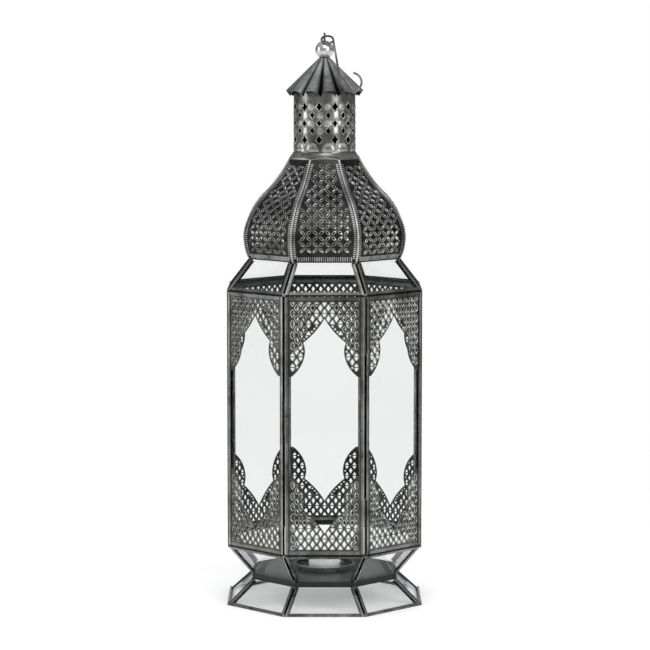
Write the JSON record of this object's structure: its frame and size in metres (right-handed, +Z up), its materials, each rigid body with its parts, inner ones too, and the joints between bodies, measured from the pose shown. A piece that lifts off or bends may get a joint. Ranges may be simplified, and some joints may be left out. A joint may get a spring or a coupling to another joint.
{
  "type": "candle lantern",
  "caption": "Tall eight-sided glazed metal candle lantern with pierced ogee window panels, onion dome, pierced neck, fluted cap, hinged door and wire hanging hook.",
  "frame": {"origin": "centre of the foot, on the surface the lantern stands on", "axes": "+Z up along the lantern's axis, -Y out through the door, +X to the right of a person who faces the door"},
  "size_m": [0.232, 0.2369, 0.6777],
  "materials": {
    "came": "antiqued zinc strip, satin",
    "window_glass": "clear, polished",
    "pierced_panel": "stamped and pierced, antiqued",
    "dome_sheet": "stamped and pierced, antiqued",
    "dome_trim": "rubbed bright on the high lines",
    "neck_sheet": "stamped and pierced, polished",
    "cap_sheet": "antiqued, dull",
    "polished_ball": "polished",
    "wire": "dark wire",
    "tray_sheet": "smooth, dull",
    "dish_sheet": "smooth, bright",
    "tealight_cup": "bright pressed foil",
    "wax": "candle wax, slightly glossy",
    "solder": "uneven, satin"
  },
  "bodies": {
    "lantern": {"base_came": "came", "base_panes": "window_glass", "floor_tray": "tray_sheet", "candle_dish": "dish_sheet", "waist_came": "came", "waist_panes": "window_glass", "tier_rings": "came", "body_came": "came", "solder_seams": "solder", "window_glass_2": "window_glass", "window_glass_3": "window_glass", "window_glass_4": "window_glass", "window_glass_5": "window_glass", "window_glass_6": "window_glass", "window_glass_7": "window_glass", "window_glass_8": "window_glass", "upper_fret_2": "pierced_panel", "upper_fret_3": "pierced_panel", "upper_fret_4": "pierced_panel", "upper_fret_5": "pierced_panel", "upper_fret_6": "pierced_panel", "upper_fret_7": "pierced_panel", "upper_fret_8": "pierced_panel", "lower_fret_2": "pierced_panel", "lower_fret_3": "pierced_panel", "lower_fret_4": "pierced_panel", "lower_fret_5": "pierced_panel", "lower_fret_6": "pierced_panel", "lower_fret_7": "pierced_panel", "lower_fret_8": "pierced_panel", "shoulder_came": "came", "shoulder_panes": "window_glass", "dome_gore_1": "dome_sheet", "dome_gore_2": "dome_sheet", "dome_gore_3": "dome_sheet", "dome_gore_4": "dome_sheet", "dome_gore_5": "dome_sheet", "dome_gore_6": "dome_sheet", "dome_gore_7": "dome_sheet", "dome_gore_8": "dome_sheet", "dome_ribs": "dome_trim", "neck_collar": "dome_trim", "neck_tube": "neck_sheet", "cap": "cap_sheet", "finial_ball": "polished_ball", "finial_eye": "wire", "finial_nut": "wire", "fixed_knuckles": "came", "hinge_pins": "wire"},
    "door": {"door_came": "came", "door_glass": "window_glass", "door_upper_fret": "pierced_panel", "door_lower_fret": "pierced_panel", "door_knuckles": "came", "door_catch": "came"},
    "hook": {"hanging_hook": "wire"},
    "tealight": {"tealight_cup": "tealight_cup", "tealight_wax": "wax"}
  },
  "joints": [
    {"name": "door_hinge", "type": "hinge", "parent": "lantern", "child": "door", "pos_m": [0.04796, -0.11578, 0.224], "axis": [0, 0, 1], "range_deg": [0, 120]},
    {"name": "hook_swing", "type": "hinge", "parent": "lantern", "child": "hook", "pos_m": [0, 0, 0.67315], "axis": [-1, 0, 0], "range_deg": [0, 145]},
    {"name": "tealight_lift", "type": "slide", "parent": "lantern", "child": "tealight", "axis": [0, 0, 1], "range_m": [0, 0.05]}
  ]
}
